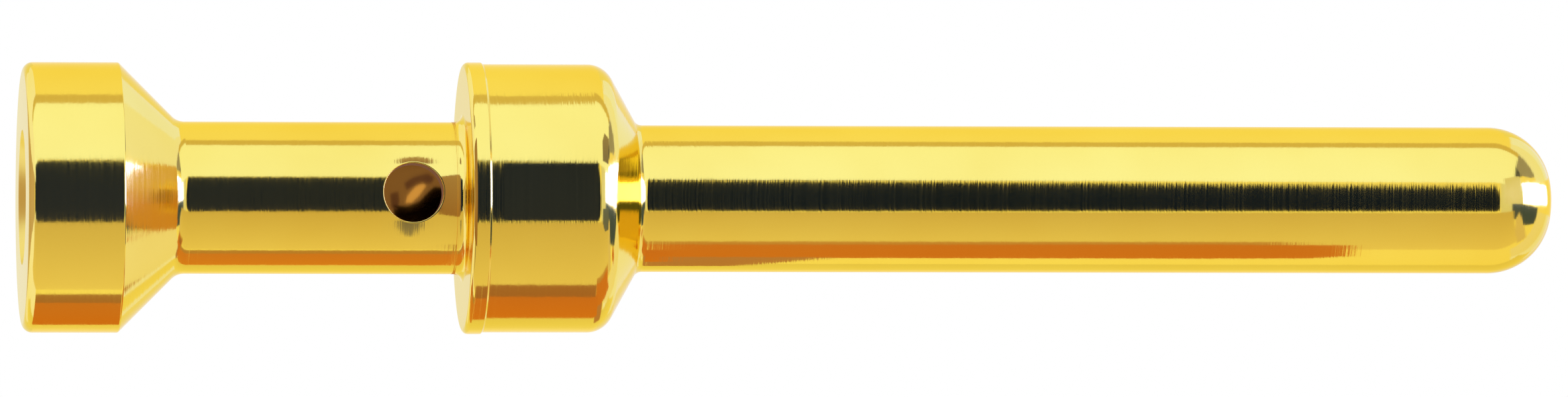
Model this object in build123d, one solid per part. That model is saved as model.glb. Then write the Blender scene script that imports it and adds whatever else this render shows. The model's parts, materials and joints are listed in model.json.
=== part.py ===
from build123d import *
from math import radians, tan
import os

# A male crimp contact, turned from one bar of copper alloy. Lengths are in mm.
# It stands on its wire-entry face at z = 0, with the pin pointing up along +Z.
# The inspection hole in the crimp barrel faces -Y.

# Pin
overall_length = 26.15
pin_diameter = 2.50
tip_flat_diameter = 0.34

# Wire-entry flange, with a cone that runs down to the barrel
flange_diameter = 4.60
flange_length = 1.62
flange_cone_angle = 45.0  # from the axis
flange_face_round = 0.17
flange_cone_round = 0.05

# Crimp barrel
barrel_diameter = 2.59
barrel_root_fillet = 0.30

# Retaining collar, with a lip raised along the edge of its back face
collar_back_height = 7.49
collar_diameter = 4.57
collar_length = 2.39  # to the sharp corner that the shoulder's rounding replaces
collar_root_fillet = 0.15
lip_diameter = 4.63
lip_width = 0.30
lip_slope_width = 0.03
lip_back_round = 0.09
lip_slope_round = 0.02

# Shoulder between the collar and the pin
shoulder_angle = 61.0  # from the axis
shoulder_round = 0.45
pin_root_fillet = 0.17

# Blind bore for the wire: full diameter to the collar's back face, then a drill point
bore_diameter = 1.75
bore_past_collar = 0.01
bore_depth = collar_back_height + bore_past_collar
drill_point_angle = 118.0
entry_diameter = 2.30
entry_angle = 90.0

# Inspection hole through one wall of the barrel, where the wire's end shows
inspection_diameter = 1.00
inspection_to_collar = 0.92  # from the hole's centre to the collar's back face
inspection_height = collar_back_height - inspection_to_collar
inspection_edge_round = 0.03


def cone_length(large_diameter, small_diameter, half_angle):
    """Axial length of a cone between two diameters."""
    return (large_diameter - small_diameter) / 2 / tan(radians(half_angle))


def turned_outline():
    """Corners of the turned outline as (radius, height, rounding), from the wire end up."""
    flange_cone = cone_length(flange_diameter, barrel_diameter, flange_cone_angle)
    shoulder_height = collar_back_height + collar_length
    shoulder_cone = cone_length(collar_diameter, pin_diameter, shoulder_angle)
    lip_top = collar_back_height + lip_width
    nose_radius = (pin_diameter - tip_flat_diameter) / 2
    return [
        (0, 0, 0),
        (flange_diameter / 2, 0, flange_face_round),
        (flange_diameter / 2, flange_length, flange_cone_round),
        (barrel_diameter / 2, flange_length + flange_cone, barrel_root_fillet),
        (barrel_diameter / 2, collar_back_height, collar_root_fillet),
        (lip_diameter / 2, collar_back_height, lip_back_round),
        (lip_diameter / 2, lip_top, lip_slope_round),
        (collar_diameter / 2, lip_top + lip_slope_width, lip_slope_round),
        (collar_diameter / 2, shoulder_height, shoulder_round),
        (pin_diameter / 2, shoulder_height + shoulder_cone, pin_root_fillet),
        (pin_diameter / 2, overall_length, nose_radius),
        (0, overall_length, 0),
    ]


def turned_body():
    """The outside of the contact, before the bore and the inspection hole."""
    corners = turned_outline()
    points = [(radius, height) for radius, height, rounding in corners]
    roundings = [rounding for radius, height, rounding in corners]
    with BuildPart() as body:
        with BuildSketch(Plane.XZ):
            with BuildLine():
                FilletPolyline(*points, radius=roundings, close=True)
            make_face()
        revolve(axis=Axis.Z)
    return body.part


def wire_bore():
    """The bore with its countersunk mouth and drill point, as a solid to cut away."""
    entry_depth = cone_length(entry_diameter, bore_diameter, entry_angle / 2)
    point_depth = cone_length(bore_diameter, 0, drill_point_angle / 2)
    with BuildPart() as bore:
        with BuildSketch(Plane.XZ):
            with BuildLine():
                Polyline(
                    (0, 0),
                    (entry_diameter / 2, 0),
                    (bore_diameter / 2, entry_depth),
                    (bore_diameter / 2, bore_depth),
                    (0, bore_depth + point_depth),
                    close=True,
                )
            make_face()
        revolve(axis=Axis.Z)
    return bore.part


def inspection_hole():
    """A radial drilling from the bore's axis out through the -Y wall."""
    drilling = Cylinder(
        inspection_diameter / 2,
        barrel_diameter,
        align=(Align.CENTER, Align.CENTER, Align.MIN),
    )
    return Location((0, 0, inspection_height), (90, 0, 0)) * drilling


def on_inspection_rim(edge):
    """True for the edge where the inspection hole opens on the barrel's outside."""
    inside_height = abs(edge.center().Z - inspection_height) < inspection_diameter / 2
    return inside_height and edge.bounding_box().min.Y < -(barrel_diameter + bore_diameter) / 4


def crimp_contact():
    contact = turned_body() - wire_bore() - inspection_hole()
    rim = [edge for edge in contact.edges() if on_inspection_rim(edge)]
    return fillet(rim, inspection_edge_round)


os.makedirs("parts", exist_ok=True)
contact = crimp_contact()
export_step(contact, "parts/crimp_contact.step")
print("crimp_contact", contact.bounding_box().size, "volume", round(contact.volume, 2))
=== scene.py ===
import json
import math
import bpy
from mathutils import Matrix, Vector


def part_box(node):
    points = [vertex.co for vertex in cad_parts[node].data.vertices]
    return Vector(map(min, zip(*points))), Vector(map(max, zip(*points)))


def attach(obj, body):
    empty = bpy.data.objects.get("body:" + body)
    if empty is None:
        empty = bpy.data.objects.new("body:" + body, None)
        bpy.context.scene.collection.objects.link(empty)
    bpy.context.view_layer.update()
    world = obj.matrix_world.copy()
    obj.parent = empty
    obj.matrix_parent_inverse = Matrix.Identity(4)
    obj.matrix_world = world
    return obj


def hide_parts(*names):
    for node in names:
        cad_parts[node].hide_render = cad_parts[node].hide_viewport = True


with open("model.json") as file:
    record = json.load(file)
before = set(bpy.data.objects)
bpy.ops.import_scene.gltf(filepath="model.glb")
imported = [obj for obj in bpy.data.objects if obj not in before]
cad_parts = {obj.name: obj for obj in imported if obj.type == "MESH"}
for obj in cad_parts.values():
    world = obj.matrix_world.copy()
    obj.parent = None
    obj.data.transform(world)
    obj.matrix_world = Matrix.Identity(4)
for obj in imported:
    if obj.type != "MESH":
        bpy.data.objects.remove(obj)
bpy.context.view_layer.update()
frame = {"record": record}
mm = 0.001
mounts = {mount["name"]: mount for mount in frame["record"]["mounts"]}

# The contact, turned about Z with its wire end at z = 0. Lengths in millimetres.
contact = {
    "length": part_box("crimp_contact")[1].z / mm,
    "pinRadius": mounts["contact_pin"]["dims"]["r_mm"],
    "tipFlat": 0.17,
    "flangeRadius": 2.30,
    "flangeLength": 1.62,
    "flangeConeAngle": 45.0,
    "flangeFaceRound": 0.17,
    "flangeConeRound": 0.05,
    "barrelRadius": 1.295,
    "barrelRootFillet": 0.30,
    "collarBack": mounts["collar_back"]["pos_m"][2] / mm,
    "collarRadius": mounts["collar"]["dims"]["r_mm"],
    "collarLength": 2.39,
    "collarRootFillet": 0.15,
    "lipRadius": 2.315,
    "lipWidth": 0.30,
    "lipSlope": 0.03,
    "lipBackRound": 0.09,
    "lipSlopeRound": 0.02,
    "shoulderAngle": 61.0,
    "shoulderRound": 0.45,
    "pinRootFillet": 0.17,
    "boreRadius": mounts["wire_bore"]["dims"]["r_mm"],
    "borePastCollar": 0.01,
    "drillPointAngle": 118.0,
    "entryRadius": 1.15,
    "holeRadius": 0.50,
    "holeToCollar": 0.92,
    "holeRound": 0.03,
    "segments": 192,        # around the axis
    "chordError": 0.0004,   # how far a chord may lie off a rounded edge
    "longestStep": 0.5,     # along a straight run
}

# The rectangles of lathe mesh that make way for the inspection hole
holePatch = {
    "barrelColumns": 22,    # each side of the hole's centre
    "barrelRows": 36,
    "barrelHalfHeight": 0.76,
    "boreColumns": 24,
    "boreRows": 32,
    "boreHalfHeight": 0.66,
    "blendRings": 6,        # from the rectangle in to the hole's rim
    "roundRings": 5,        # over the rounded rim
    "wallRings": 5,         # down the hole's wall
}


def edgeNormal(start, end):
    along = Vector((end[0] - start[0], end[1] - start[1])).normalized()
    return along.y, -along.x    # the metal lies to the left of the outline's direction


# (radius, height, normal r, normal z) along the arc that rounds a corner.
def roundedCorner(before, corner, after, rounding):
    inward = Vector((corner[0] - before[0], corner[1] - before[1])).normalized()
    onward = Vector((after[0] - corner[0], after[1] - corner[1])).normalized()
    turn = math.atan2(inward.x * onward.y - inward.y * onward.x, inward.dot(onward))
    bulge = math.copysign(rounding, turn)   # negative in an inside corner
    start = Vector(corner[:2]) - inward * rounding * math.tan(abs(turn) / 2)
    firstNormal = Vector(edgeNormal(before, corner))
    centre = start - firstNormal * bulge
    stepAngle = 2 * math.acos(1 - contact["chordError"] / rounding)
    steps = max(3, math.ceil(abs(turn) / stepAngle))
    firstAngle = math.atan2(firstNormal.y, firstNormal.x)
    arc = []
    for step in range(steps + 1):
        angle = firstAngle + turn * step / steps
        normal = Vector((math.cos(angle), math.sin(angle)))
        place = centre + normal * bulge
        arc.append((place.x, place.y, normal.x, normal.y))
    return arc


# (radius, height, rounding) from the drill point down the bore, round the wire end and up to the tip.
def outlineCorners():
    c = contact
    boreDepth = c["collarBack"] + c["borePastCollar"]
    pointDepth = c["boreRadius"] / math.tan(math.radians(c["drillPointAngle"] / 2))
    entryDepth = c["entryRadius"] - c["boreRadius"]     # a countersink of 45 degrees
    flangeCone = (c["flangeRadius"] - c["barrelRadius"]) / math.tan(math.radians(c["flangeConeAngle"]))
    shoulderTop = c["collarBack"] + c["collarLength"]
    shoulderCone = (c["collarRadius"] - c["pinRadius"]) / math.tan(math.radians(c["shoulderAngle"]))
    lipTop = c["collarBack"] + c["lipWidth"]
    return [
        (0, boreDepth + pointDepth, 0),
        (c["boreRadius"], boreDepth, 0),
        (c["boreRadius"], entryDepth, 0),
        (c["entryRadius"], 0, 0),
        (c["flangeRadius"], 0, c["flangeFaceRound"]),
        (c["flangeRadius"], c["flangeLength"], c["flangeConeRound"]),
        (c["barrelRadius"], c["flangeLength"] + flangeCone, c["barrelRootFillet"]),
        (c["barrelRadius"], c["collarBack"], c["collarRootFillet"]),
        (c["lipRadius"], c["collarBack"], c["lipBackRound"]),
        (c["lipRadius"], lipTop, c["lipSlopeRound"]),
        (c["collarRadius"], lipTop + c["lipSlope"], c["lipSlopeRound"]),
        (c["collarRadius"], shoulderTop, c["shoulderRound"]),
        (c["pinRadius"], shoulderTop + shoulderCone, c["pinRootFillet"]),
        (c["pinRadius"], c["length"], c["pinRadius"] - c["tipFlat"]),
        (0, c["length"], 0),
    ]


# The outline as runs of (radius, height, normal r, normal z), parted at its sharp corners.
def smoothRuns(corners):
    last = len(corners) - 1
    runs = [[(*corners[0][:2], *edgeNormal(corners[0], corners[1]))]]
    for number in range(1, last):
        before, corner, after = corners[number - 1], corners[number], corners[number + 1]
        if corner[2] > 0:
            runs[-1] += roundedCorner(before, corner, after, corner[2])
        else:
            runs[-1].append((*corner[:2], *edgeNormal(before, corner)))
            runs.append([(*corner[:2], *edgeNormal(corner, after))])
    runs[-1].append((*corners[last][:2], *edgeNormal(corners[last - 1], corners[last])))
    return runs


# The run with points added along its straights: at most longestStep apart, and at the given heights.
def withSteps(run, breaks):
    filled = [run[0]]
    for start, end in zip(run, run[1:]):
        length = math.hypot(end[0] - start[0], end[1] - start[1])
        steps = math.ceil(length / contact["longestStep"])
        shares = {step / steps for step in range(1, steps)}
        upright = abs(end[0] - start[0]) < 1e-6
        inside = [h for h in breaks if upright and min(start[1], end[1]) < h < max(start[1], end[1])]
        if inside:
            low, high = min(inside) - 0.02, max(inside) + 0.02
            shares = {s for s in shares if not low < start[1] + (end[1] - start[1]) * s < high}
            shares |= {(h - start[1]) / (end[1] - start[1]) for h in inside}
        for share in sorted(shares):
            filled.append(tuple(a + (b - a) * share for a, b in zip(start, end)))
        filled.append(end)
    return filled


def holeHeight():
    return contact["collarBack"] - contact["holeToCollar"]


# Heights of the lathe's rings across one side's rectangle, the barrel's or the bore's.
def patchRows(side):
    rows, half = holePatch[side + "Rows"], holePatch[side + "HalfHeight"]
    return [holeHeight() + half * (2 * row / rows - 1) for row in range(rows + 1)]


def roundPoint(radius, height, column):
    angle = 2 * math.pi * column / contact["segments"]      # column 0 faces -Y
    return Vector((radius * math.sin(angle), -radius * math.cos(angle), height))


def roundNormal(normalR, normalZ, column):
    angle = 2 * math.pi * column / contact["segments"]
    return Vector((normalR * math.sin(angle), -normalR * math.cos(angle), normalZ))


def newDraft():
    return {"points": [], "places": {}, "faces": [], "normals": [], "rough": []}


# A face from (key, point, normal) corners. Corners with one key share one vertex.
def addFace(draft, corners, rough):
    face = []
    for key, point, normal in corners:
        if key not in draft["places"]:
            draft["places"][key] = len(draft["points"])
            draft["points"].append(point * mm)
        face.append(draft["places"][key])
        draft["normals"].append(normal.normalized())
    draft["faces"].append(face)
    draft["rough"].append(rough)


def latheCorner(run, ring, column, number):
    radius, height, normalR, normalZ = run[ring]
    wrapped = column % contact["segments"] if radius > 0 else 0
    key = ("ring", number + ring, wrapped)
    return key, roundPoint(radius, height, column), roundNormal(normalR, normalZ, column)


# True where the inspection hole's patch takes the place of the lathe's own square.
def inPatch(run, ring, column, side):
    radius = contact[side + "Radius"]
    columns = holePatch[side + "Columns"]
    middle = (run[ring][1] + run[ring + 1][1]) / 2
    upright = abs(run[ring][0] - radius) < 1e-6 and abs(run[ring + 1][0] - radius) < 1e-6
    centred = (column + columns) % contact["segments"] < 2 * columns
    return upright and centred and abs(middle - holeHeight()) < holePatch[side + "HalfHeight"]


# Turns the runs about the axis, and gives each ring's number by its side and height.
def addLathe(draft, runs):
    ringNumbers = {}
    number = 0
    for order, run in enumerate(runs):
        inBore = order < 3      # drill point, bore wall and countersink
        side = "bore" if inBore else "barrel"
        for ring in range(len(run)):
            if abs(run[ring][0] - contact[side + "Radius"]) < 1e-6:
                ringNumbers[side, round(run[ring][1], 4)] = number + ring
        for ring in range(len(run) - 1):
            for column in range(contact["segments"]):
                if inPatch(run, ring, column, side):
                    continue
                square = [
                    latheCorner(run, ring, column, number),
                    latheCorner(run, ring, column + 1, number),
                    latheCorner(run, ring + 1, column + 1, number),
                    latheCorner(run, ring + 1, column, number),
                ]
                if run[ring][0] == 0:
                    del square[1]
                if run[ring + 1][0] == 0:
                    del square[3]
                addFace(draft, square, inBore)
        number += len(run) - 1
    return ringNumbers


# The rectangle's edge as (key, point), anticlockwise seen from outside, from the middle of its +X side.
def rectangleRing(side, ringNumbers):
    rows, columns = holePatch[side + "Rows"], holePatch[side + "Columns"]
    steps = [(columns, row) for row in range(rows // 2, rows)]
    steps += [(column, rows) for column in range(columns, -columns, -1)]
    steps += [(-columns, row) for row in range(rows, 0, -1)]
    steps += [(column, 0) for column in range(-columns, columns)]
    steps += [(columns, row) for row in range(rows // 2)]
    heights = patchRows(side)
    ring = []
    for column, row in steps:
        key = ("ring", ringNumbers[side, round(heights[row], 4)], column % contact["segments"])
        ring.append((key, roundPoint(contact[side + "Radius"], heights[row], column)))
    return ring


def onCylinder(x, z, radius):
    return Vector((x, -math.sqrt(radius * radius - x * x), z))


def cylinderNormal(point, direction):
    return Vector((point.x, point.y, 0)).normalized() * direction


# Points on a cylinder, part of the way from the rectangle's edge to the round rim.
def blendRing(edge, rimRadius, radius, share):
    ring = []
    for number, (key, place) in enumerate(edge):
        angle = 2 * math.pi * number / len(edge)
        rim = Vector((rimRadius * math.cos(angle), 0, holeHeight() + rimRadius * math.sin(angle)))
        between = place.lerp(rim, share)
        ring.append(onCylinder(between.x, between.z, radius))
    return ring


# Point and normal over the hole's rounded rim, from the barrel's outside at 0 to the hole's wall at 1.
def rimPoint(angle, share):
    c = contact
    right, up = math.cos(angle), math.sin(angle)
    outerRadius = c["holeRadius"] + c["holeRound"]
    outer = onCylinder(right * outerRadius, holeHeight() + up * outerRadius, c["barrelRadius"])
    sharp = onCylinder(right * c["holeRadius"], holeHeight() + up * c["holeRadius"], c["barrelRadius"])
    inner = sharp + Vector((0, c["holeRound"], 0))
    point = outer.lerp(sharp, share).lerp(sharp.lerp(inner, share), share)
    wallNormal = Vector((-right, 0, -up))
    return point, cylinderNormal(point, 1).lerp(wallNormal, share)


# Joins rings of (key, point, normal), each to the next.
def addRings(draft, rings, rough):
    for ring, following in zip(rings, rings[1:]):
        for number in range(len(ring)):
            after = (number + 1) % len(ring)
            addFace(draft, [ring[number], ring[after], following[after], following[number]], rough)


def addInspectionHole(draft, ringNumbers):
    c, p = contact, holePatch
    outerEdge = rectangleRing("barrel", ringNumbers)
    innerEdge = rectangleRing("bore", ringNumbers)
    count = len(outerEdge)
    angles = [2 * math.pi * number / count for number in range(count)]
    outerRadius = c["holeRadius"] + c["holeRound"]

    barrelRings = [[(key, place, cylinderNormal(place, 1)) for key, place in outerEdge]]
    for step in range(1, p["blendRings"] + 1):
        places = blendRing(outerEdge, outerRadius, c["barrelRadius"], step / p["blendRings"])
        barrelRings.append([
            (("barrel", step, number), place, cylinderNormal(place, 1))
            for number, place in enumerate(places)
        ])
    addRings(draft, barrelRings, False)

    rimRings = [barrelRings[-1]]
    for step in range(1, p["roundRings"] + 1):
        over = [rimPoint(angle, step / p["roundRings"]) for angle in angles]
        rimRings.append([(("rim", step, number), *place) for number, place in enumerate(over)])
    addRings(draft, rimRings, False)

    mouth = [place for key, place, normal in rimRings[-1]]
    foot = [onCylinder(place.x, place.z, c["boreRadius"]) for place in mouth]
    wallNormals = [Vector((-math.cos(angle), 0, -math.sin(angle))) for angle in angles]
    wallRings = [[
        (key, place, wallNormal)
        for (key, place, normal), wallNormal in zip(rimRings[-1], wallNormals)
    ]]
    for step in range(1, p["wallRings"] + 1):
        share = step / p["wallRings"]
        wallRings.append([
            (("wall", step, number), mouth[number].lerp(foot[number], share), wallNormals[number])
            for number in range(count)
        ])
    addRings(draft, wallRings, True)

    boreRings = [[(key, place, cylinderNormal(place, -1)) for key, place, normal in wallRings[-1]]]
    for step in range(p["blendRings"] - 1, 0, -1):
        places = blendRing(innerEdge, c["holeRadius"], c["boreRadius"], step / p["blendRings"])
        boreRings.append([
            (("bore", step, number), place, cylinderNormal(place, -1))
            for number, place in enumerate(places)
        ])
    boreRings.append([(key, place, cylinderNormal(place, -1)) for key, place in innerEdge])
    addRings(draft, boreRings, True)


def makeContact(outside, drilled):
    breaks = patchRows("barrel"), patchRows("bore")
    runs = smoothRuns(outlineCorners())
    runs = [withSteps(run, breaks[1] if order < 3 else breaks[0]) for order, run in enumerate(runs)]
    draft = newDraft()
    ringNumbers = addLathe(draft, runs)
    addInspectionHole(draft, ringNumbers)
    mesh = bpy.data.meshes.new("turnedContact")
    mesh.from_pydata(draft["points"], [], draft["faces"])
    mesh.materials.append(outside)
    mesh.materials.append(drilled)
    for polygon, rough in zip(mesh.polygons, draft["rough"]):
        polygon.use_smooth = True
        polygon.material_index = 1 if rough else 0
    mesh.normals_split_custom_set(draft["normals"])
    mesh.update()
    piece = bpy.data.objects.new("turned_contact", mesh)
    bpy.context.scene.collection.objects.link(piece)
    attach(piece, "root")
    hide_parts("crimp_contact")
    return piece


# Gold plating over turned metal
plating = {
    "yellow": (0.955, 0.690, 0.082, 1),
    "warm": (0.925, 0.640, 0.066, 1),
    "edge": (0.98, 0.88, 0.50, 1),    # near grazing, where plain metal would turn white
    "cloudScale": 260,          # per metre, the plating's slow clouding
    "roughLow": 0.07,
    "roughHigh": 0.13,
    "turningAround": 90,        # per metre, across the axis: long marks round the part
    "turningAlong": 26000,      # per metre, along the axis: the feed of the turning tool
    "turningDepth": 0.0000012,
    "peelScale": 5200,
    "peelDepth": 0.0000010,
    "drilledRoughness": 0.30,
}


def addNode(nodes, kind, **sockets):
    node = nodes.new(kind)
    for name, value in sockets.items():
        node.inputs[name].default_value = value
    return node


def newMaterial(name):
    material = bpy.data.materials.new(name)
    material.use_nodes = True
    nodes, links = material.node_tree.nodes, material.node_tree.links
    nodes.clear()
    output = nodes.new("ShaderNodeOutputMaterial")
    return material, nodes, links, output


def makePlating(name, drilled=False):
    p = plating
    material, nodes, links, output = newMaterial(name)
    shader = addNode(nodes, "ShaderNodeBsdfPrincipled", Metallic=1.0)
    shader.inputs["Specular Tint"].default_value = p["edge"]
    links.new(shader.outputs["BSDF"], output.inputs["Surface"])
    where = nodes.new("ShaderNodeTexCoord")

    clouds = addNode(nodes, "ShaderNodeTexNoise", Scale=p["cloudScale"], Detail=3.0, Roughness=0.55)
    links.new(where.outputs["Object"], clouds.inputs["Vector"])
    tone = nodes.new("ShaderNodeValToRGB")
    tone.color_ramp.elements[0].position = 0.32
    tone.color_ramp.elements[0].color = p["warm"]
    tone.color_ramp.elements[1].position = 0.62
    tone.color_ramp.elements[1].color = p["yellow"]
    links.new(clouds.outputs["Fac"], tone.inputs["Fac"])
    links.new(tone.outputs["Color"], shader.inputs["Base Color"])

    stretch = nodes.new("ShaderNodeMapping")     # rings round the axis, as the tool leaves them
    stretch.inputs["Scale"].default_value = (p["turningAround"], p["turningAround"], p["turningAlong"])
    links.new(where.outputs["Object"], stretch.inputs["Vector"])
    marks = addNode(nodes, "ShaderNodeTexNoise", Scale=1.0, Detail=2.0, Roughness=0.6)
    links.new(stretch.outputs["Vector"], marks.inputs["Vector"])
    peel = addNode(nodes, "ShaderNodeTexNoise", Scale=p["peelScale"], Detail=2.0)
    links.new(where.outputs["Object"], peel.inputs["Vector"])

    markBump = addNode(nodes, "ShaderNodeBump", Strength=1.0, Distance=p["turningDepth"])
    links.new(marks.outputs["Fac"], markBump.inputs["Height"])
    peelBump = addNode(nodes, "ShaderNodeBump", Strength=1.0, Distance=p["peelDepth"])
    links.new(peel.outputs["Fac"], peelBump.inputs["Height"])
    links.new(markBump.outputs["Normal"], peelBump.inputs["Normal"])
    links.new(peelBump.outputs["Normal"], shader.inputs["Normal"])

    if drilled:
        shader.inputs["Roughness"].default_value = p["drilledRoughness"]
    else:
        spread = nodes.new("ShaderNodeMapRange")
        spread.inputs["From Min"].default_value = 0.3
        spread.inputs["From Max"].default_value = 0.7
        spread.inputs["To Min"].default_value = p["roughLow"]
        spread.inputs["To Max"].default_value = p["roughHigh"]
        links.new(marks.outputs["Fac"], spread.inputs["Value"])
        links.new(spread.outputs["Result"], shader.inputs["Roughness"])
    return material


# The camera looks across the axis with the part's +Z to the right, a little from the wire end
camera = {
    "towardsWireEnd": 5.58,     # degrees
    "roundAxis": 4.7,           # degrees past the inspection hole
    "roll": 0.125,              # degrees, the axis runs down to the right
    "lens": 400,
    "sensor": 36,
    "frameWidth": 26.72,        # mm across the picture, at the axis
    "aimHeight": 12.989,        # mm along the axis, at the picture's centre
    "aimUp": 0.008,             # mm across the axis
}


def cameraDirection():
    lift, around = math.radians(camera["towardsWireEnd"]), math.radians(camera["roundAxis"])
    across = Vector((math.sin(around), -math.cos(around), 0))
    return across * math.cos(lift) - Vector((0, 0, math.sin(lift)))


def cameraDistance():
    return camera["frameWidth"] * mm * camera["lens"] / camera["sensor"]


def makeCamera():
    back = cameraDirection()
    right = (Vector((0, 0, 1)) - back * back.z).normalized()
    up = back.cross(right)
    roll = math.radians(camera["roll"])
    rolledRight = right * math.cos(roll) + up * math.sin(roll)
    rolledUp = up * math.cos(roll) - right * math.sin(roll)
    lens = bpy.data.cameras.new("sideCamera")
    lens.lens = camera["lens"]
    lens.sensor_width = camera["sensor"]
    lens.clip_start = 0.01
    lens.clip_end = 5
    rig = bpy.data.objects.new("sideCamera", lens)
    aim = Vector((0, 0, camera["aimHeight"] * mm)) + rolledUp * camera["aimUp"] * mm
    place = Matrix((rolledRight, rolledUp, back)).transposed().to_4x4()
    place.translation = aim + back * cameraDistance()
    rig.matrix_world = place
    bpy.context.scene.collection.objects.link(rig)
    bpy.context.scene.camera = rig


# Studio cards, seen only in the gold. Each station is (height on the part where the card shows,
# then its two edges in degrees round the axis from the camera, up in the picture being positive).
cards = {
    "barrelFlag": {
        "distance": 250,
        "stations": [(-150, -21.2, 31), (1.6, -21.2, 31), (2.6, -21.5, 32.4), (7.3, -21.5, 32.4),
                     (8, -18.9, 30.4), (10, -18.9, 30.4)],
        "edges": [(0.022, 0.032, 0.19), (0.018, 0.028, 0.18)],
    },
    "pinFlag": {
        "distance": 250,
        "stations": [(10, -19.5, 31.7), (12, -19.2, 30.7), (13.2, -19, 29.4), (14.3, -18.8, 27.1),
                     (20, -17.6, 25.3), (25, -17, 21), (33, -16, 15), (40, -10, 2)],
        "edges": [(0.004, 0.010, 0.10), (0.006, 0.013, 0.11)],
    },
    "paleEnd": {
        "distance": 240, "stations": [(42.9, -24, 42), (158, -24, 42)],
        "edges": [(0.78, 0.88, 1.8), (0.78, 0.88, 1.8)],
    },
    "coolSoftbox": {
        "distance": 60,
        "stations": [(-60, 31, 86.5), (7.4, 32, 86.5), (9.6, 31, 88), (10.2, 30, 91), (60, 24, 91)],
        "edges": [(1.03, 1.28, 3.3), (1.03, 1.26, 2.9)],
    },
    "softboxFrame": {
        "distance": 62,
        "stations": [(-60, 86.5, 97), (7.4, 86.5, 97), (9.6, 88, 98), (10.2, 91, 102), (60, 91, 102)],
        "edges": [(0.70, 0.62, 0.60), (0.70, 0.62, 0.60)],
    },
    "greyCard": {
        "distance": 60, "stations": [(-60, -22.5, -84), (60, -18.5, -84)],
        "edges": [(0.68, 0.60, 0.62), (0.86, 0.80, 0.86)],
    },
    # Painted shadow: the line, orange and umber cards from here to pinUmber stand in for the part's own
    # shadow on a table beside it, tinted orange, as the gold shows it
    "flangeLine": {
        "distance": 6.2, "seenOn": 2.30, "stations": [(-1, -91, -103), (1.9, -91, -103)],
        "edges": [(0.42, 0.24, 0.24), (0.40, 0.20, 0.20)],
    },
    "flangeOrange": {
        "distance": 6, "seenOn": 2.30, "stations": [(-1, -102, -140), (1.9, -102, -140)],
        "edges": [(0.62, 0.24, 0.12), (0.66, 0.23, 0.08)],
    },
    "barrelLine": {
        "distance": 6.2, "seenOn": 1.295, "stations": [(2.55, -87, -96), (7.3, -87, -96)],
        "edges": [(0.50, 0.30, 0.26), (0.50, 0.30, 0.26)],
    },
    "barrelOrange": {
        "distance": 6, "seenOn": 1.295, "stations": [(2.55, -94, -124), (7.3, -94, -124)],
        "edges": [(0.66, 0.27, 0.14), (0.72, 0.30, 0.12)],
    },
    "collarLine": {
        "distance": 6.2, "seenOn": 2.285, "stations": [(7.4, -80, -94), (10.0, -80, -94)],
        "edges": [(0.40, 0.20, 0.21), (0.38, 0.18, 0.18)],
    },
    "collarOrange": {
        "distance": 8, "seenOn": 2.285,
        "stations": [(7.4, -92, -126), (10.0, -92, -126), (11.0, -94, -124)],
        "edges": [(0.62, 0.22, 0.11), (0.68, 0.24, 0.08)],
    },
    "pinOrange": {
        "distance": 13, "seenOn": 1.25,
        "stations": [(10.4, -77, -107), (12.5, -77, -107), (20.5, -75, -107)],
        "edges": [(0.64, 0.24, 0.12), (0.66, 0.24, 0.10)],
    },
    "pinOrangeEnd": {
        "distance": 6, "seenOn": 1.25,
        "stations": [(19.5, -76, -107), (21.9, -76, -106), (22.6, -76, -100)],
        "edges": [(0.64, 0.24, 0.12), (0.66, 0.24, 0.10)],
    },
    "pinLine": {
        "distance": 14, "seenOn": 1.25, "stations": [(10.4, -71, -78), (21.6, -70, -77)],
        "edges": [(0.60, 0.38, 0.34), (0.55, 0.30, 0.26)],
    },
    "pinUmber": {
        "distance": 10, "seenOn": 1.25,
        "stations": [(10.4, -105, -133), (12.0, -105, -133), (13.6, -105, -108)],
        "edges": [(0.50, 0.27, 0.34), (0.50, 0.27, 0.34)],
    },
    # Painted reflection: a brownish card close to the barrel, which shows in its dark band next to the
    # collar's back face
    "barrelPaintedReflection": {
        "distance": 1.2, "seenOn": 1.295,
        "stations": [(7.00, -24, 33), (7.30, -28, 36), (7.46, -30, 38)],
        "edges": [(0.34, 0.20, 0.22), (0.40, 0.29, 0.45)],
    },
    "collarFlag": {     # as the barrel's flag, but so near that the lip's step doesn't show the lamp past it
        "distance": 0.5, "seenOn": 2.285, "stations": [(8.04, -18.9, 30.4), (9.66, -18.9, 30.4)],
        "edges": [(0.022, 0.032, 0.19), (0.018, 0.028, 0.18)],
    },
    "holeTopShadow": {      # painted shadow: dark cards close to the barrel darken it, in the gold, over the hole's top and under its foot
        "distance": 2.2, "seenOn": 1.295,
        "stations": [(6.30, 54, 60), (6.42, 54, 64), (6.60, 54, 66), (6.80, 54, 64), (6.90, 54, 60)],
        "edges": [(0.30, 0.22, 0.4), (0.46, 0.36, 0.6)],
    },
    "holeShadow": {
        "distance": 2.2, "seenOn": 1.295,
        "stations": [(6.30, -34, -44), (6.44, -34, -57), (6.52, -34, -62), (6.62, -34, -52),
                     (6.72, -34, -43)],
        "edges": [(0.20, 0.20, 0.5), (0.30, 0.29, 0.6)],
    },
    "cornerShadow": {       # where the collar rounds over into the shoulder
        "distance": 0.5, "seenOn": 2.285,
        "stations": [(9.90, 33, 52), (10.05, 33, 61), (10.45, 33, 61)],
        "edges": [(0.22, 0.22, 0.6), (0.34, 0.32, 0.7)],
    },
    "cornerShadowLow": {
        "distance": 0.5, "seenOn": 2.285,
        "stations": [(9.90, -9, -22), (10.05, -9, -30), (10.45, -9, -30)],
        "edges": [(0.12, 0.17, 0.6), (0.16, 0.19, 0.6)],
    },
    "rimCard": {
        "distance": 90, "stations": [(-60, -124, -150), (60, -124, -150)],
        "edges": [(0.84, 0.82, 0.82), (0.95, 0.95, 0.95)],
    },
}


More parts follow.
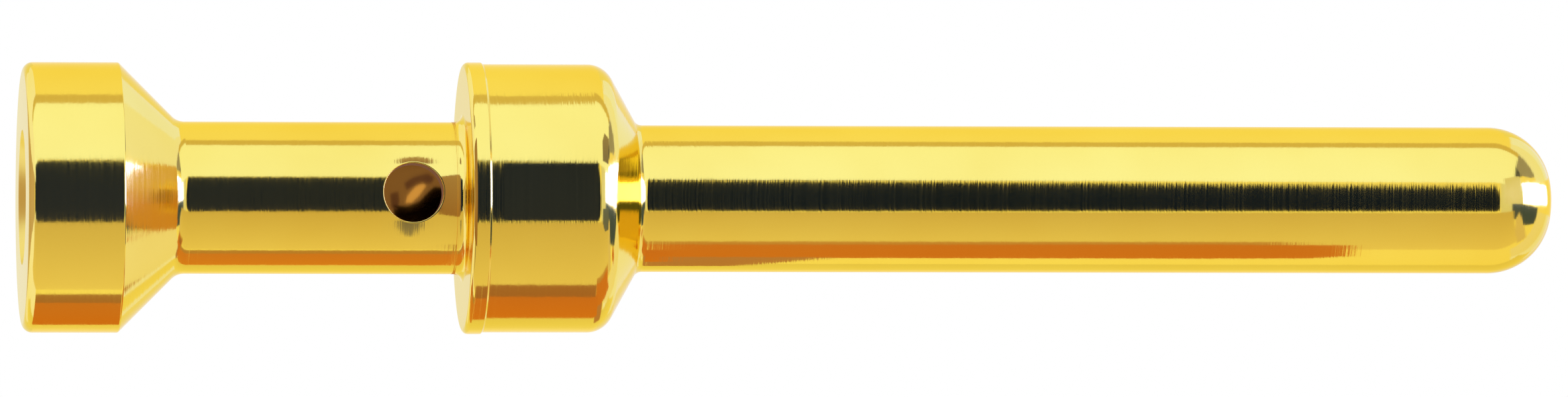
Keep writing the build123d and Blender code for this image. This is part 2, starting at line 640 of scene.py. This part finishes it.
# Where a card must stand to show at that height on the part and at that angle round it. A near card is
# set against the radius of the surface that shows it.
def cardPoint(height, angle, distance, seenOn):
    away = math.radians(camera["roundAxis"] - angle)
    foot = math.radians(camera["roundAxis"] - angle / 2)
    eyeDistance = cameraDistance() / mm
    eyeHeight = camera["aimHeight"] - math.sin(math.radians(camera["towardsWireEnd"])) * eyeDistance
    rise = (height - eyeHeight) / eyeDistance
    place = Vector((math.sin(away), -math.cos(away), 0)) * distance
    place += Vector((math.sin(foot), -math.cos(foot), 0)) * seenOn
    return Vector((place.x, place.y, height + rise * distance)) * mm


def makeCardMaterial(name, edges):
    material, nodes, links, output = newMaterial(name)
    glow = nodes.new("ShaderNodeEmission")
    links.new(glow.outputs["Emission"], output.inputs["Surface"])
    across = nodes.new("ShaderNodeUVMap")
    across.uv_map = "across"
    split = nodes.new("ShaderNodeSeparateXYZ")
    links.new(across.outputs["UV"], split.inputs["Vector"])
    fade = nodes.new("ShaderNodeValToRGB")
    for element, colour in zip(fade.color_ramp.elements, edges):
        element.color = (*colour, 1)
    links.new(split.outputs["X"], fade.inputs["Fac"])
    links.new(fade.outputs["Color"], glow.inputs["Color"])
    return material


def hideFromAllButGloss(thing):
    thing.visible_camera = False
    thing.visible_diffuse = False
    thing.visible_shadow = False
    thing.visible_volume_scatter = False


def makeCard(name, card, strips=12):
    points, faces, shares = [], [], []
    for height, first, second in card["stations"]:
        for strip in range(strips + 1):
            share = strip / strips
            angle = first + (second - first) * share
            points.append(cardPoint(height, angle, card["distance"], card.get("seenOn", 0)))
            shares.append(share)
    width = strips + 1
    for station in range(len(card["stations"]) - 1):
        for strip in range(strips):
            corner = station * width + strip
            faces.append((corner, corner + 1, corner + width + 1, corner + width))
    mesh = bpy.data.meshes.new(name)
    mesh.from_pydata(points, [], faces)
    across = mesh.uv_layers.new(name="across")
    for loop in mesh.loops:
        across.data[loop.index].uv = (shares[loop.vertex_index], 0)
    mesh.materials.append(makeCardMaterial(name, card["edges"]))
    panel = bpy.data.objects.new(name, mesh)
    bpy.context.scene.collection.objects.link(panel)
    hideFromAllButGloss(panel)


# Panels, each a polygon in one colour. Beyond the tip their corners are (towards the camera, up) as
# shares of the wall's height, and behind the part they are (up, along the axis) in millimetres.
panels = {
    "tipWallHeight": 200,       # mm
    "backDistance": 200,        # mm
    "tip": {
        "tipLamp": (
            [(-0.70, -0.04), (0.0, -0.06), (1.0, -0.06), (1.7, 0.0), (1.7, 0.68), (0.90, 0.46), (0.55, 0.42),
             (0.15, 0.31), (-0.30, 0.20), (-0.70, 0.15)],
            (4.6, 6.6, 56.0),
        ),
        "upperDim": (
            [(-0.15, 0.36), (0.03, 0.38), (0.40, 0.58), (0.40, 1.20), (-0.15, 1.55), (-0.34, 1.45),
             (-0.24, 0.92)],
            (0.36, 0.39, 1.1),
        ),
        "upperDark": (
            [(0.40, 0.58), (0.80, 0.50), (1.10, 0.62), (0.90, 1.10), (0.40, 1.25)],
            (0.09, 0.11, 0.40),
        ),
        "lowerDark": (
            [(-0.10, -0.10), (-0.10, -0.36), (0.30, -0.53), (0.48, -0.42), (0.66, -0.29), (0.76, -0.58),
             (1.25, -0.58), (1.25, -0.08)],
            (0.06, 0.10, 0.45),
        ),
        "lowerDim": (
            [(-0.10, -0.70), (0.30, -0.53), (0.50, -0.40), (0.66, -0.30), (0.74, -0.60), (0.50, -0.95),
             (0.0, -1.10)],
            (0.77, 0.70, 1.0),
        ),
        "palePanelUp": (
            [(-0.75, 0.20), (-0.13, 0.24), (-0.15, 0.90), (-0.22, 1.6), (-0.75, 1.6)],
            (0.95, 1.12, 3.0),
        ),
        "paleFarUp": ([(-1.7, 0.17), (-0.75, 0.20), (-0.75, 1.6), (-1.7, 1.6)], (0.94, 1.18, 4.6)),
        "rimUp": ([(-6.0, 0.10), (-1.7, 0.17), (-1.7, 2.0), (-6.0, 2.0)], (0.94, 0.98, 1.25)),
        "palePanelDown": (
            [(-0.75, -1.6), (-0.12, -1.6), (-0.12, -0.16), (-0.75, -0.14)],
            (0.92, 0.97, 1.9),
        ),
        "paleFarDown": ([(-1.7, -1.6), (-0.75, -1.6), (-0.75, -0.14), (-1.7, -0.12)], (0.95, 1.10, 3.2)),
        "rimDown": ([(-6.0, -2.0), (-1.7, -2.0), (-1.7, -0.12), (-6.0, -0.10)], (0.92, 0.95, 1.2)),
    },
    "wire": {       # as the tip's, but as far beyond the wire end
        "wirePaleUp": ([(-6.0, 0.30), (3.0, 0.30), (3.0, 6.0), (-6.0, 6.0)], (1.0, 1.15, 3.0)),
        "wirePaleDown": ([(-6.0, -6.0), (3.0, -6.0), (3.0, -0.30), (-6.0, -0.30)], (1.0, 1.12, 2.8)),
        "wireBrown": ([(-6.0, -0.30), (0.8, -0.30), (0.8, 0.30), (-6.0, 0.30)], (0.60, 0.50, 0.90)),
    },
    "behind": {
        "backPanel": ([(-110, -80), (110, -80), (110, 1), (-110, 1)], (0.90, 0.93, 0.85)),
    },
    "mouth": (3.0, 1.6, (0.58, 0.47, 0.85)),    # mm below the wire-entry face, radius, colour
    "ringHeight": 7.43,         # mm, before the collar's back face and seen only from the wire end
    "ringRadii": (1.45, 2.26),
    "ringColours": [(0.64, 0.33, 0.16), (0.72, 0.52, 0.42)],
    "ringFade": 0.6,            # mm either side of the axis over which its colour runs
    "roundSteps": 32,           # corners of the mouth's panel, and half as many as the ring's
    "nose": (       # painted reflection: a pale panel close to the rounded tip, which shows on the nose. Corners (towards the camera, up, along the axis) in mm
        [(2.12, -0.22, 27.28), (3.03, -0.22, 26.05), (3.03, 1.7, 26.05), (2.12, 1.7, 27.28)],
        (0.77, 0.84, 1.7),
    ),
    "boreLean": 0.075,          # mm along the axis for each mm that the camera looks into the hole
    # Painted reflections in the hole: glowing panels before the bore's far wall, which shows them as the
    # brown, the dark patches, the glint and the dark crescent inside the inspection hole. Each is radius
    # there, corners (right, down) in mm from the hole's centre, colour
    "inBore": {
        "borePaintedReflection": (
            0.74,
            [(-0.75, -0.75), (-0.75, 0.75), (0.75, 0.75), (0.75, -0.75)],
            (0.22, 0.13, 0.22),
        ),
        "borePaintedDarkPatch": (
            0.76,
            [(-0.40, 0.02), (-0.26, -0.02), (-0.24, 0.14), (-0.28, 0.30), (-0.38, 0.26)],
            (0.10, 0.05, 0.12),
        ),
        "borePaintedDarkBand": (
            0.76,
            [(-0.16, -0.16), (0.0, -0.26), (0.24, -0.32), (0.36, -0.24), (0.30, -0.16), (0.06, -0.14),
             (-0.12, -0.04)],
            (0.10, 0.05, 0.14),
        ),
        "boreGlint": (
            0.76,
            [(-0.14, 0.18), (-0.10, 0.05), (0.03, -0.10), (0.15, -0.16), (0.22, -0.12), (0.10, 0.05),
             (-0.03, 0.17)],
            (0.70, 0.44, 0.60),
        ),
        "boreShade": (
            0.76,
            [(-0.34, 0.22), (-0.10, 0.23), (0.10, 0.15), (0.26, -0.02), (0.36, -0.10), (0.60, -0.08),
             (0.50, 0.50), (-0.10, 0.62), (-0.34, 0.50)],
            (0.0, 0.0, 0.0),
        ),
    },
}


def addPanel(name, points, faces, material):
    mesh = bpy.data.meshes.new(name)
    mesh.from_pydata(points, [], faces)
    mesh.materials.append(material)
    panel = bpy.data.objects.new(name, mesh)
    bpy.context.scene.collection.objects.link(panel)
    hideFromAllButGloss(panel)


def makePanelMaterial(name, colour):
    material, nodes, links, output = newMaterial(name)
    glow = addNode(nodes, "ShaderNodeEmission", Color=(*colour, 1))
    links.new(glow.outputs["Emission"], output.inputs["Surface"])
    return material


# Where a panel's corner must stand to show at that place in the inspection hole. The camera looks through
# the hole at the bore's far wall, which draws the picture together like a hollow mirror.
def inBorePoint(right, down, radius):
    depth = contact["barrelRadius"] + contact["boreRadius"]
    squeeze = 1 - 2 * (contact["boreRadius"] - radius) / contact["boreRadius"]
    across = squeeze * (down - depth * math.tan(math.radians(camera["roundAxis"])))
    along = holeHeight() + right + panels["boreLean"] * depth
    return Vector((across, math.sqrt(radius * radius - across * across), along)) * mm


def makePanels():
    around = math.radians(camera["roundAxis"])
    towards = Vector((math.sin(around), -math.cos(around), 0))
    upwards = Vector((-math.cos(around), -math.sin(around), 0))
    axis = Vector((0, 0, 1))
    wall = panels["tipWallHeight"] * mm
    for name, (corners, colour) in panels["tip"].items():
        points = [(towards * a + upwards * b + axis) * wall for a, b in corners]
        addPanel(name, points, [tuple(range(len(points)))], makePanelMaterial(name, colour))
    for name, (corners, colour) in panels["wire"].items():
        points = [(towards * a + upwards * b - axis) * wall for a, b in corners]
        addPanel(name, points, [tuple(range(len(points)))], makePanelMaterial(name, colour))
    corners, colour = panels["nose"]
    points = [(towards * a + upwards * b + axis * c) * mm for a, b, c in corners]
    addPanel("nosePanel", points, [(0, 1, 2, 3)], makePanelMaterial("nosePanel", colour))
    drop, radius, colour = panels["mouth"]
    steps = panels["roundSteps"]
    turns = [2 * math.pi * step / steps for step in range(steps)]
    points = [Vector((radius * math.cos(turn), radius * math.sin(turn), -drop)) * mm for turn in turns]
    addPanel("mouthPanel", points, [tuple(range(steps))], makePanelMaterial("mouthPanel", colour))
    for name, (radius, corners, colour) in panels["inBore"].items():
        points = [inBorePoint(right, down, radius) for right, down in corners]
        addPanel(name, points, [tuple(range(len(points)))], makePanelMaterial(name, colour))
    for name, (corners, colour) in panels["behind"].items():
        points = [(towards * -panels["backDistance"] + upwards * a + axis * b) * mm for a, b in corners]
        addPanel(name, points, [tuple(range(len(points)))], makePanelMaterial(name, colour))


# A ring close before the collar's back face, which the flange's cone shows. It glows only towards the
# wire end, and its colour runs from the lower to the upper edge of the picture.
def makeRing():
    name, steps = "collarRing", 2 * panels["roundSteps"]
    inner, outer = panels["ringRadii"]
    points, faces = [], []
    for step in range(steps):
        angle = 2 * math.pi * step / steps
        for radius in (inner, outer):
            corner = (radius * math.cos(angle), radius * math.sin(angle), panels["ringHeight"])
            points.append(Vector(corner) * mm)
        after = (step + 1) % steps
        faces.append((2 * step, 2 * after, 2 * after + 1, 2 * step + 1))    # facing the wire end
    material, nodes, links, output = newMaterial(name)
    where = nodes.new("ShaderNodeTexCoord")
    split = nodes.new("ShaderNodeSeparateXYZ")
    links.new(where.outputs["Object"], split.inputs["Vector"])
    height = nodes.new("ShaderNodeMapRange")        # up in the picture is towards -X
    height.inputs["From Min"].default_value = panels["ringFade"] * mm
    height.inputs["From Max"].default_value = -panels["ringFade"] * mm
    links.new(split.outputs["X"], height.inputs["Value"])
    fade = nodes.new("ShaderNodeValToRGB")
    for element, colour in zip(fade.color_ramp.elements, panels["ringColours"]):
        element.color = (*colour, 1)
    links.new(height.outputs["Result"], fade.inputs["Fac"])
    glow = nodes.new("ShaderNodeEmission")
    links.new(fade.outputs["Color"], glow.inputs["Color"])
    side = nodes.new("ShaderNodeNewGeometry")
    clear = nodes.new("ShaderNodeBsdfTransparent")
    oneSided = nodes.new("ShaderNodeMixShader")
    links.new(side.outputs["Backfacing"], oneSided.inputs["Fac"])
    links.new(glow.outputs["Emission"], oneSided.inputs[1])
    links.new(clear.outputs["BSDF"], oneSided.inputs[2])
    links.new(oneSided.outputs["Shader"], output.inputs["Surface"])
    addPanel(name, points, faces, material)


# Floor, world and lamp
studio = {
    "floorDrop": 0.02,      # mm under the wire-entry face
    "floorFadeFrom": 40,    # mm from the axis, where the floor starts to melt into the backdrop
    "floorFadeTo": 110,
    "floorRadius": 180,
    "floorGrey": 0.86,
    "skyForFloor": 0.74,
    "lampPlace": (0.16, -0.22, 0.30),
    "lampSize": 0.20,
    "lampPower": 0.42,
}


def makeWorld():
    world = bpy.data.worlds.new("whiteStudio")
    world.use_nodes = True
    bpy.context.scene.world = world
    nodes, links = world.node_tree.nodes, world.node_tree.links
    nodes.clear()
    output = nodes.new("ShaderNodeOutputWorld")
    seen = addNode(nodes, "ShaderNodeBackground", Color=(1, 1, 1, 1), Strength=1.0)
    light = addNode(nodes, "ShaderNodeBackground", Color=(1, 1, 1, 1), Strength=studio["skyForFloor"])
    path = nodes.new("ShaderNodeLightPath")
    gloss = nodes.new("ShaderNodeMath")
    gloss.operation = "MAXIMUM"
    links.new(path.outputs["Is Camera Ray"], gloss.inputs[0])
    links.new(path.outputs["Is Glossy Ray"], gloss.inputs[1])
    glass = nodes.new("ShaderNodeMath")
    glass.operation = "MAXIMUM"
    links.new(gloss.outputs["Value"], glass.inputs[0])
    links.new(path.outputs["Is Transmission Ray"], glass.inputs[1])
    mix = nodes.new("ShaderNodeMixShader")
    links.new(glass.outputs["Value"], mix.inputs["Fac"])
    links.new(light.outputs["Background"], mix.inputs[1])
    links.new(seen.outputs["Background"], mix.inputs[2])
    links.new(mix.outputs["Shader"], output.inputs["Surface"])


def makeFloor():
    s = studio
    rim = [
        Vector((math.cos(math.radians(a)), math.sin(math.radians(a)), 0)) * s["floorRadius"] * mm
        for a in range(0, 360, 5)
    ]
    mesh = bpy.data.meshes.new("paleFloor")
    mesh.from_pydata(rim, [], [list(range(len(rim)))])
    floor = bpy.data.objects.new("paleFloor", mesh)
    floor.location.z = -s["floorDrop"] * mm
    floor.visible_glossy = False        # the gold shows the white backdrop and the cards all round
    bpy.context.scene.collection.objects.link(floor)

    material, nodes, links, output = newMaterial("paleFloor")
    lit = addNode(nodes, "ShaderNodeBsdfDiffuse", Color=(s["floorGrey"],) * 3 + (1,))
    white = addNode(nodes, "ShaderNodeEmission", Color=(1, 1, 1, 1), Strength=1.0)
    where = nodes.new("ShaderNodeTexCoord")
    reach = nodes.new("ShaderNodeVectorMath")
    reach.operation = "LENGTH"
    links.new(where.outputs["Object"], reach.inputs[0])
    fade = nodes.new("ShaderNodeMapRange")
    fade.interpolation_type = "SMOOTHSTEP"
    fade.inputs["From Min"].default_value = s["floorFadeFrom"] * mm
    fade.inputs["From Max"].default_value = s["floorFadeTo"] * mm
    links.new(reach.outputs["Value"], fade.inputs["Value"])
    melt = nodes.new("ShaderNodeMixShader")
    links.new(fade.outputs["Result"], melt.inputs["Fac"])
    links.new(lit.outputs["BSDF"], melt.inputs[1])
    links.new(white.outputs["Emission"], melt.inputs[2])
    side = nodes.new("ShaderNodeNewGeometry")
    clear = nodes.new("ShaderNodeBsdfTransparent")
    oneSided = nodes.new("ShaderNodeMixShader")     # nothing shows from under the floor
    links.new(side.outputs["Backfacing"], oneSided.inputs["Fac"])
    links.new(melt.outputs["Shader"], oneSided.inputs[1])
    links.new(clear.outputs["BSDF"], oneSided.inputs[2])
    links.new(oneSided.outputs["Shader"], output.inputs["Surface"])
    mesh.materials.append(material)


def makeLamp():
    s = studio
    data = bpy.data.lights.new("softLamp", "AREA")
    data.shape = "DISK"
    data.size = s["lampSize"]
    data.energy = s["lampPower"]
    lamp = bpy.data.objects.new("softLamp", data)
    lamp.location = s["lampPlace"]
    lamp.rotation_euler = (-lamp.location).to_track_quat("-Z", "Y").to_euler()
    lamp.visible_glossy = False
    bpy.context.scene.collection.objects.link(lamp)


goldOutside = makePlating("goldPlating")
goldDrilled = makePlating("goldInDrillings", drilled=True)
turned = makeContact(goldOutside, goldDrilled)
print("contact:", len(turned.data.polygons), "faces")
makeWorld()
makeFloor()
makeLamp()
for cardName, cardSettings in cards.items():
    makeCard(cardName, cardSettings)
print("studio:", len(cards), "cards")
makePanels()
makeRing()
makeCamera()
bpy.context.scene.view_settings.view_transform = "Standard"
print("camera at", tuple(round(value, 4) for value in bpy.context.scene.camera.matrix_world.translation))
